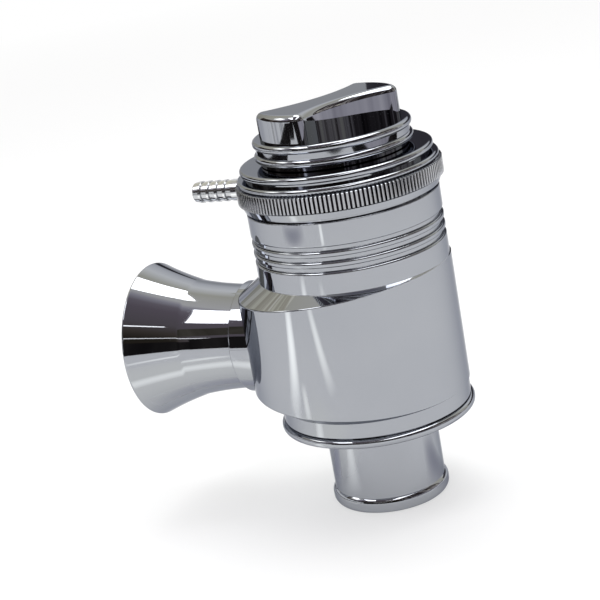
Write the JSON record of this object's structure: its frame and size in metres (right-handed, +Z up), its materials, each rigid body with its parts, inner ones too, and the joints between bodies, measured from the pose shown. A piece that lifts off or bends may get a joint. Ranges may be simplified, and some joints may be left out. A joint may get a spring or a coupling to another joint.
{
  "type": "blow off valve",
  "caption": "Polished piston blow off valve with an offset round body, side vent trumpet, hose tail inlet, knurled cap, vacuum nipple and hand preload knob.",
  "frame": {"origin": "centre of the inlet bore at the hose tail's end face", "axes": "+Z up the valve's axis towards the knob, the trumpet points along -X"},
  "size_m": [0.1016, 0.065, 0.1235],
  "materials": {
    "polished_alloy": "mirror polished",
    "machined_alloy": "fine turned",
    "steel": "plain",
    "black_rubber": "smooth",
    "white_polymer": "smooth"
  },
  "bodies": {
    "housing": {"valve_body": "polished_alloy", "inlet_base": "polished_alloy", "hose_tail": "polished_alloy", "base_o_ring": "black_rubber", "trumpet": "polished_alloy", "trumpet_o_ring": "black_rubber", "cap": "polished_alloy", "cap_o_ring": "black_rubber", "vacuum_nipple": "polished_alloy", "nipple_washer": "black_rubber", "guide_pin_left": "steel", "guide_pin_right": "steel", "thrust_washer": "white_polymer"},
    "piston": {"piston": "machined_alloy", "upper_piston_ring": "black_rubber", "lower_piston_ring": "black_rubber", "seat_seal": "black_rubber", "seal_retainer": "steel", "retainer_screw": "steel"},
    "knob": {"adjuster_knob": "polished_alloy", "knob_grub_screw": "steel", "adjuster_stem": "steel", "stem_o_ring": "black_rubber", "stem_circlip": "steel"},
    "spring_seat": {"spring_seat": "machined_alloy", "return_spring": "steel"}
  },
  "joints": [
    {"name": "piston_lift", "type": "slide", "parent": "housing", "child": "piston", "axis": [0, 0, 1], "range_m": [0, 0.01], "stiffness_N_per_m": 2000, "springref_m": -0.012, "deforming": ["return_spring"]},
    {"name": "knob_turn", "type": "hinge", "parent": "housing", "child": "knob", "pos_m": [0, 0, 0.1075], "axis": [0, 0, 1], "range_deg": [-540, 540]},
    {"name": "spring_seat_travel", "type": "slide", "parent": "housing", "child": "spring_seat", "axis": [0, 0, 1], "range_m": [-0.00226, 0.00226], "deforming": ["return_spring"]}
  ],
  "couplings": [
    {"joint": "spring_seat_travel", "follows": "knob_turn", "m_per_rad": 0.00023873}
  ]
}
